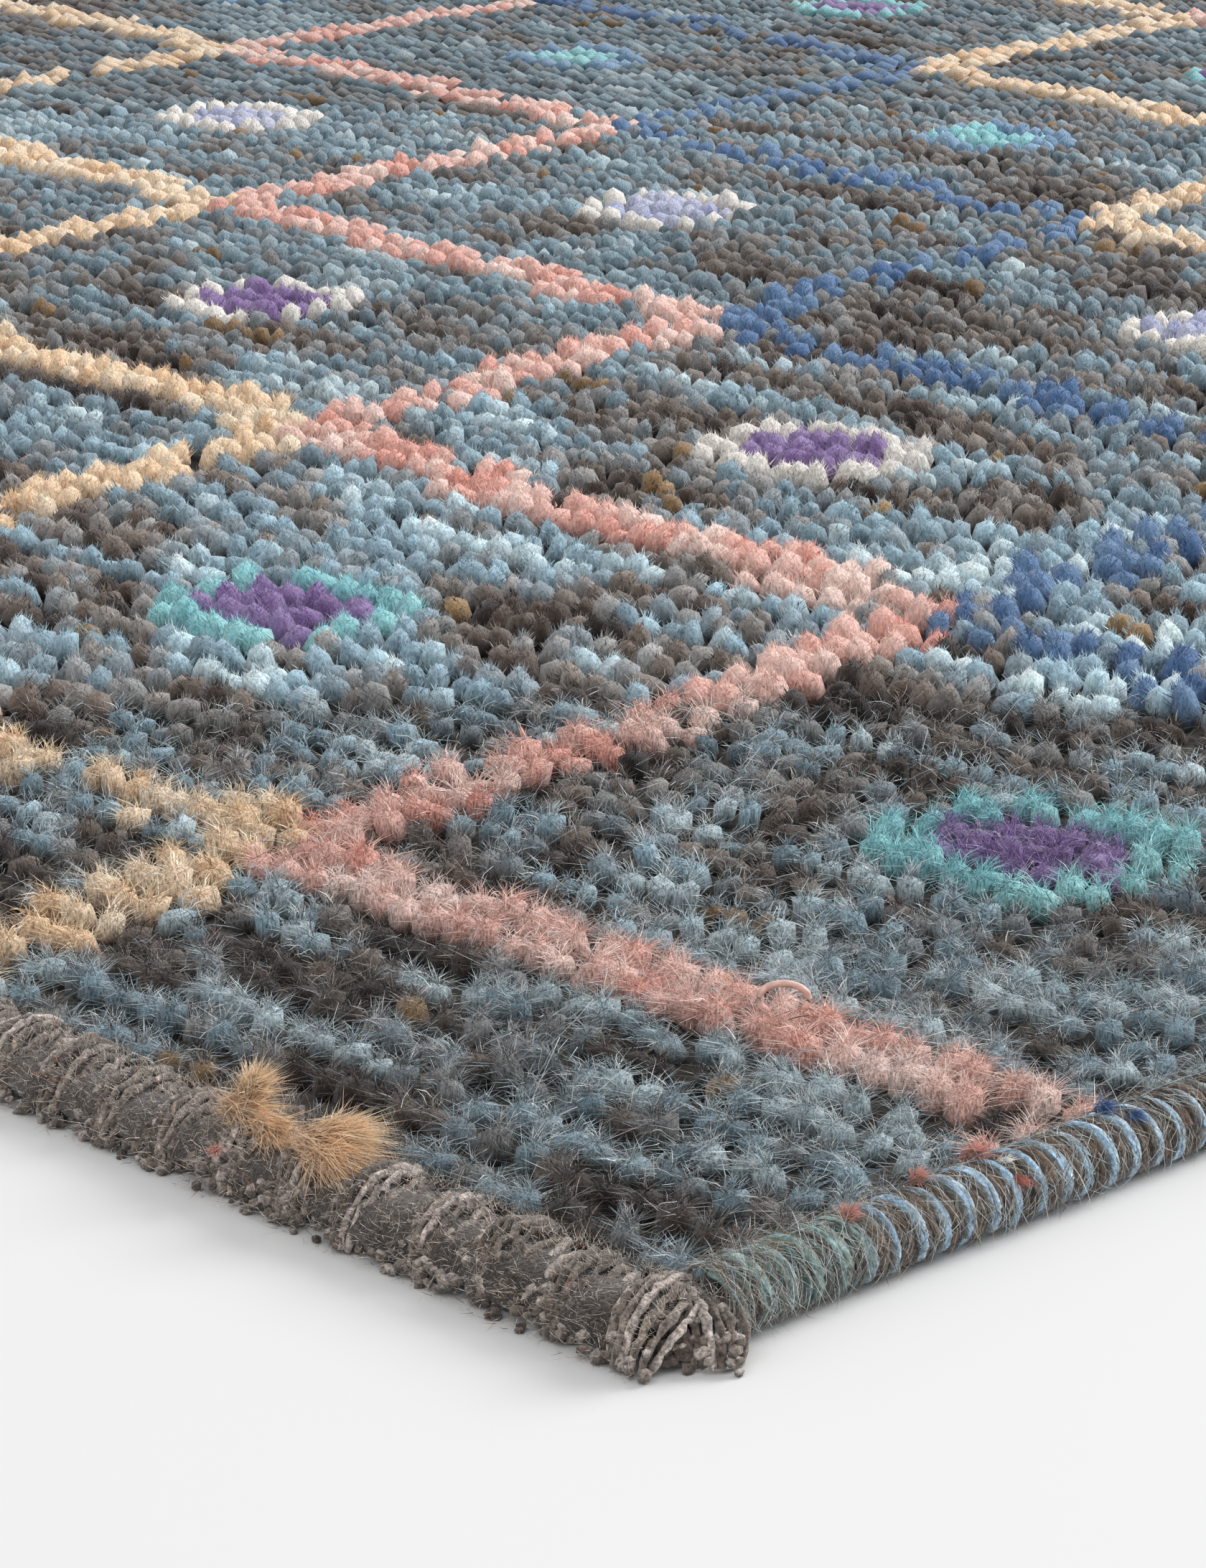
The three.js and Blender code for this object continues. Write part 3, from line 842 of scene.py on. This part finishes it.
def nubs(centre_x, inner_y, outward, turn, reach, top, fine):
    """The ends turned under a group: small lumpy balls over its lower front, down to the floor's edge. On
    some groups they cover most of the fan."""
    unit, triangles = NUB if fine else PLAIN_LUMP
    lumpy = fine and dice.random() < 0.6
    count = MANY_NUBS if lumpy else FEW_NUBS if fine else PLAIN_NUBS
    highest = 0.16 if lumpy else 0.5
    s = highest + (1 - highest) * dice.random(count) ** 0.7
    across = dice.uniform(-FAN_HALF_MM, FAN_HALF_MM, count) * MM
    size = dice.uniform(0.5, 1.0, count) * MM * (1 if fine else 2.2)
    out = reach * (1 - (1 - s) ** 1.35) - 1.3 * size
    x, y = set_out(centre_x, inner_y, outward, turn, across, out)
    z = np.maximum(top * 0.86 * rise_over(s) * (1 - 0.3 * (across / (FAN_HALF_MM * MM)) ** 2), size * 0.7)
    girth = 1 + 0.15 * dice.normal(0, 1, (count, len(unit)))
    wide, deep, tall = dice.uniform([[0.8], [0.9], [1.3]], [[1.3], [1.7], [2.4]], (3, count))
    tip_over = dice.normal(0, 0.7, count) * size
    points = np.stack([
        x[:, None] + unit[:, 0] * (size * wide)[:, None] * girth + tip_over[:, None] * (unit[:, 2] - 0.5),
        y[:, None] + unit[:, 1] * (size * deep)[:, None] * girth,
        np.maximum(z[:, None] + (unit[:, 2] - 0.5) * (size * tall)[:, None], 0),
    ], -1).reshape(-1, 3)
    faces = (triangles[None] + (np.arange(count) * len(unit))[:, None, None]).reshape(-1, 3)
    # Painted shade: each nub is darker toward its bottom, where it sinks into the fan
    base = WARP_TINTS[dice.integers(0, 4, count)][:, None] * (0.42 + 0.7 * unit[:, 2])[None, :, None]
    return points, [faces], base.reshape(-1, 3) * np.exp(dice.normal(-0.03, 0.2, len(points)))[:, None]


def warp_fuzz(count, start_x, end_x, inner_y, outward, reach, top):
    """Short fuzz over the plait: fine blades that stand off its rounded top and front, a few orange."""
    s = dice.random(count)
    x = start_x + (end_x - start_x) * dice.random(count)
    lifted = top * dice.uniform(0.94, 1.12, count) * rise_over(s)
    root = np.stack([x, inner_y + outward * reach * (1 - (1 - s) ** 1.35), lifted], -1)
    out = np.stack([
        dice.normal(0, 0.8, count), outward * (s - 0.25) + dice.normal(0, 0.4, count), 1.0 - 0.8 * s,
    ], -1)
    own = (0.9 * MM * np.exp(dice.normal(0, 0.5, count)))[:, None]
    shades = np.where(dice.random(count)[:, None] < 0.72, linear("c6bbb0"), linear("62564e"))
    base = np.where(dice.random(count)[:, None] < 0.012, linear("c0602f"), shades)
    base = base * np.exp(dice.normal(0, 0.22, count))[:, None]
    bend = dice.normal(0, 0.7, (count, 3)) * own
    # Painted shade: each fuzz blade is darker at its root
    return blades(arc(root, out * own, bend, 3), np.full(count, 0.08 * MM), base * 0.8, base)


def turned_under(low, high, inner_y, outward, reach, top):
    """The ends carried along under the groups: a long flattened roll, lumpy, that narrows to both corners."""
    stations = 460
    x = np.linspace(low[0] + 1.5 * MM, high[0] - 1.5 * MM, stations)
    from_end = np.minimum(x - low[0], high[0] - x) / (9 * MM)
    taper = np.sqrt(np.clip(from_end, 0.08, 1))
    y = inner_y + outward * reach * (0.45 * taper + 0.2 * (1 - taper))
    path = np.stack([x, y, np.full(stations, top * 0.36)], -1)
    lumpy = 1 + 0.1 * dice.normal(0, 1, stations)
    along_y, along_z = np.tile([0, 1.0, 0], (stations, 1)), np.tile([0, 0, 0.52], (stations, 1))
    points, faces = tube(path, along_y, along_z, reach * 0.42 * taper * lumpy, 8)
    # Painted shade: the roll takes the darkest warp tint at half its brightness, as it lies in shade under
    # the groups
    return points, faces, speckled(WARP_TINTS[2] * 0.5, len(points), 0.3)


warp_finish = yarn_finish("twisted_warp", (0.6 * MM, 0.6 * MM, 0.6 * MM), 0.6 * MM, 0.88, 0.35, 0.8)
NUB = tuft_shape(7, [(0.25, 0.8), (0.72, 0.85)], 0.0)
for plait_name, outward in (("plait_near", -1), ("plait_far", 1)):
    low, high = (np.array(corner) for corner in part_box(plait_name))
    reach, top = high[1] - low[1], high[2] - low[2]
    inner_y = high[1] if outward == -1 else low[1]
    groups = round((high[0] - low[0]) / GROUP_PITCH)
    pitch = (high[0] - low[0]) / groups
    places = [(high[0] - (group + 0.5) * pitch, 0.0, 1.0, group) for group in range(groups)]
    places += [(high[0] - 6 * MM, CORNER_TURN, 0.78, 0), (low[0] + 6 * MM, -CORNER_TURN, 0.78, groups)]
    parts = [turned_under(low, high, inner_y, outward, reach, top)]
    for centre_x, turn, share, group in places:
        fine = outward == -1 and group < FINE_GROUPS
        own_reach = reach * share * (0.90 + 0.08 * dice.random())
        own_top = top * (0.9 + 0.16 * dice.random()) * (0.8 if turn else 1)
        lean = 3.4 + dice.normal(0, 1.0)
        parts += warp_group(centre_x, inner_y, outward, turn, own_reach, own_top, lean, fine)
        parts.append(nubs(centre_x, inner_y, outward, turn, reach * share, own_top, fine))
    if outward == -1:
        fuzz_end = high[0] - FINE_GROUPS * pitch
        parts.append(warp_fuzz(FUZZ_BLADES, high[0], fuzz_end, inner_y, outward, reach, top))
    plait = wool_piece(plait_name + "_threads", *joined(parts), warp_finish, "warp_yarn")
    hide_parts(plait_name)

# Odd ends of dyed wool lie loose by the corner: apricot tufts over the plait, and small coral, white and blue
# ones by the overcasting. Each is a brush of fibres that spreads from one root.
ODD_END_PARTS = ("weft", "warp", "up", "to", "length", "wool", "fibres")
ODD_ENDS = [
    (86, 9, 8.2, (0.95, 0.1, 0.05), 7.5, "ecc6a2", 1000),
    (83, 10, 8.6, (0.3, 0.3, 0.75), 6.0, "efcdac", 800),
    (79, 8.5, 8.0, (0.95, 0.0, 0.0), 6.5, "e8c09a", 1000),
    (68, 8, 8.6, (0.8, 0.6, 0.3), 8.0, "edcaa8", 1400),
    (68, 7, 8.2, (1.0, 0.2, 0.0), 8.8, "e8c19c", 1600),
    (77.4, 1.5, 6.5, (0.3, -0.4, 0.2), 2.2, "cc9385", 120),
    (4, 37.5, 8.0, (0.2, 0.2, 0.7), 3.0, "cf9a8f", 300),
    (2.5, 37.5, 5.6, (0.5, 0.0, 0.3), 2.0, "b36c62", 120),
    (6, 52, 8.4, (0.3, 0.0, 0.6), 3.2, "d8a394", 180),
    (8, 63, 8.6, (0.8, 0.3, 0.5), 3.4, "c98c83", 300),
    (4, 65, 8.4, (0.6, 0.2, 0.4), 2.2, "eceae5", 100),
    (2, 65.5, 7.2, (0.5, 0.0, 0.0), 2.4, "bb7568", 130),
    (6, 86, 8.8, (0.5, 0.2, 0.5), 2.8, "46699a", 240),
    (3.5, 89, 8.2, (0.6, 0.2, 0.3), 2.4, "4a6f9e", 200),
]
CURL = {"weft": 57.5, "warp": 82.5, "up": 11.0, "radius": 3.0, "thick": 0.5, "wool": "e6b9ab"}


def odd_end(weft, warp, up, to, length, wool, fibres):
    """A brush of fibres. They start in a small bundle, go much the same way, and spread apart the faster the
    farther they have gone. A soft body fills the middle of the brush, painted darker as the shade inside it,
    and each fibre is painted darker at its root and lighter at its tip."""
    root_place = np.array([RUG_HIGH[0] - weft * MM, RUG_LOW[1] + warp * MM, up * MM])
    aim = np.array(to) / np.linalg.norm(to)
    base, long = linear(wool), length * MM
    unit, triangles = LUMP
    body = (unit - [0, 0, 0.5]) * [0.24, 0.24, 0.34] * long + root_place + aim * long * 0.4
    start = dice.random((fibres, 1)) * 0.45
    root = root_place + (dice.normal(0, 0.09, (fibres, 3)) + aim * start) * long
    own = long * (1 - 0.75 * start) * dice.uniform(0.75, 1.05, (fibres, 1))
    spread = dice.normal(0, 1, (fibres, 3)) * [0.3, 0.3, 0.19]
    reach = (aim + 0.5 * spread) * own
    bend = (spread * 0.75 + dice.normal(0, 0.1, (fibres, 3)) - [0, 0, 0.16] - 0.12 * aim) * own
    tone = np.exp(dice.normal(0, 0.14, fibres))[:, None]
    lines = arc(root, reach, bend, 3)
    # Painted shade and light: each fibre is darker at its root and lighter at its tip
    strands = blades(lines, np.full(fibres, 0.14 * MM), base * tone * 0.72, np.minimum(base * tone * 1.25, 1))
    # The body is painted darker, as the shade inside the brush
    return joined([(body, [triangles], np.tile(base * 0.6, (len(body), 1))), strands])


def curl_of_yarn(weft, warp, up, radius, thick, wool):
    """A loose end of pile yarn in an open arch: nearly three quarters of an oval, upright and at 45 degrees
    to both edges."""
    turn = np.linspace(-0.25, 1.2, 20) * np.pi
    path = np.stack([
        RUG_HIGH[0] - (weft + radius * 0.8 * np.cos(turn)) * MM,
        RUG_LOW[1] + (warp - radius * 0.8 * np.cos(turn)) * MM,
        (up + radius * 0.75 * (0.3 + np.sin(turn))) * MM,
    ], -1)
    level, upwards = square_to(path)
    points, faces = tube(path, level, upwards, np.full(len(turn), thick * MM), 6)
    return points, faces, speckled(linear(wool), len(points), 0.16)


odd_parts = [odd_end(**dict(zip(ODD_END_PARTS, end))) for end in ODD_ENDS] + [curl_of_yarn(**CURL)]
odd_ends = wool_piece("odd_ends", *joined(odd_parts), fibre_finish, "field_wool")
